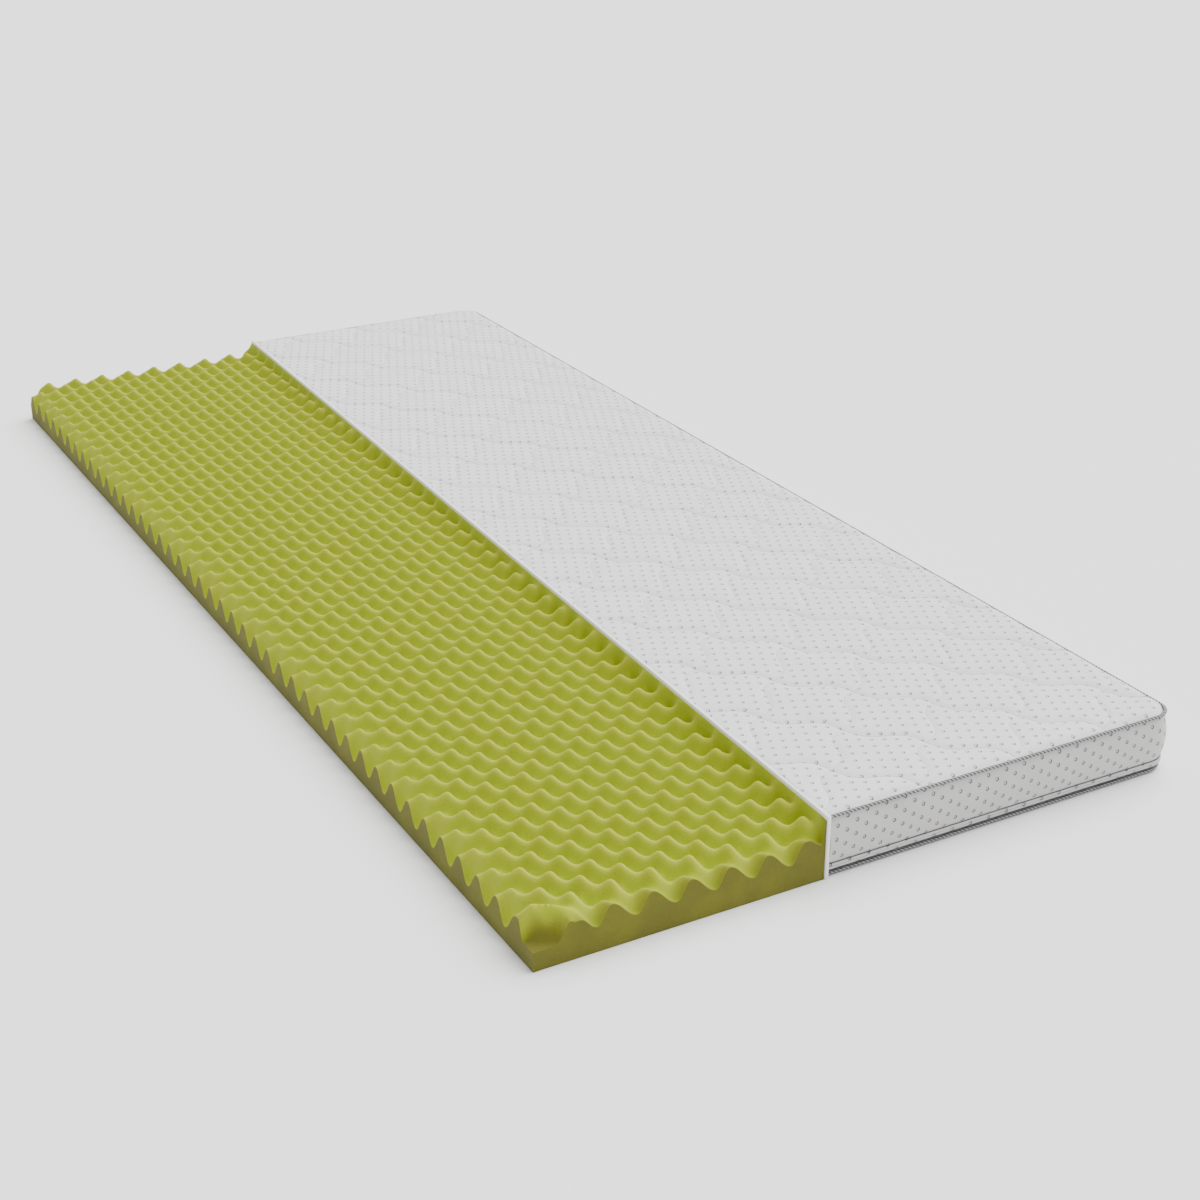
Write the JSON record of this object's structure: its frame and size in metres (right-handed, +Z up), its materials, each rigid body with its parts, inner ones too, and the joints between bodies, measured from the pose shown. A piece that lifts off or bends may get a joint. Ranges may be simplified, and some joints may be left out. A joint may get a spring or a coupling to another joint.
{
  "type": "convoluted foam mattress topper",
  "caption": "Single mattress topper shown cut away: a convoluted foam core, half bare and half inside a quilted zip-off cover with corded edges.",
  "frame": {"origin": "middle of the footprint, on the surface the topper lies on", "axes": "+X across the width from the bare foam to the covered side, +Y along the length to the end without a zip, +Z up"},
  "size_m": [0.9, 2, 0.082],
  "materials": {
    "foam": "lime green open-cell polyurethane foam, matt",
    "knit": "pale grey double-jacquard knit with a lattice of small woven rings",
    "border_knit": "the same knit as the panels, flat",
    "wadding": "white polyester hollow-fibre wadding",
    "backing": "white non-woven scrim",
    "cord": "twisted grey and white yarn",
    "tape": "woven polyester tape",
    "coil": "nylon monofilament",
    "zip_metal": "nickel-plated zinc",
    "binding": "white woven binding tape"
  },
  "bodies": {
    "core": {"foam_core": "foam"},
    "cover": {"top_fabric": "knit", "top_wadding": "wadding", "top_backing": "backing", "bottom_fabric": "knit", "bottom_wadding": "wadding", "border_fabric_zip_side": "border_knit", "border_wadding_zip_side": "wadding", "border_fabric_back": "border_knit", "border_wadding_back": "wadding", "top_piping_cord": "cord", "top_piping_lip": "tape", "bottom_piping_cord": "cord", "bottom_piping_lip": "tape", "zip_flap": "border_knit", "zip_tape_upper": "tape", "zip_tape_lower": "tape", "zip_coil_upper": "coil", "zip_coil_lower": "coil", "zip_end_stops": "zip_metal", "binding_top": "binding", "binding_bottom": "binding", "binding_front": "binding", "binding_back": "binding"},
    "slider": {"zip_slider_body": "zip_metal"},
    "pull": {"zip_pull_tab": "zip_metal"}
  },
  "joints": [
    {"name": "cover_draws_off", "type": "slide", "parent": "core", "child": "cover", "axis": [1, 0, 0], "range_m": [0, 0.54]},
    {"name": "zip_travel", "type": "slide", "parent": "cover", "child": "slider", "axis": [0, -1, 0], "range_m": [0, 1.75]},
    {"name": "pull_swing", "type": "hinge", "parent": "slider", "child": "pull", "pos_m": [0.4408, 0.868, 0.0077], "axis": [0, 0, 1], "range_deg": [0, 180]}
  ]
}
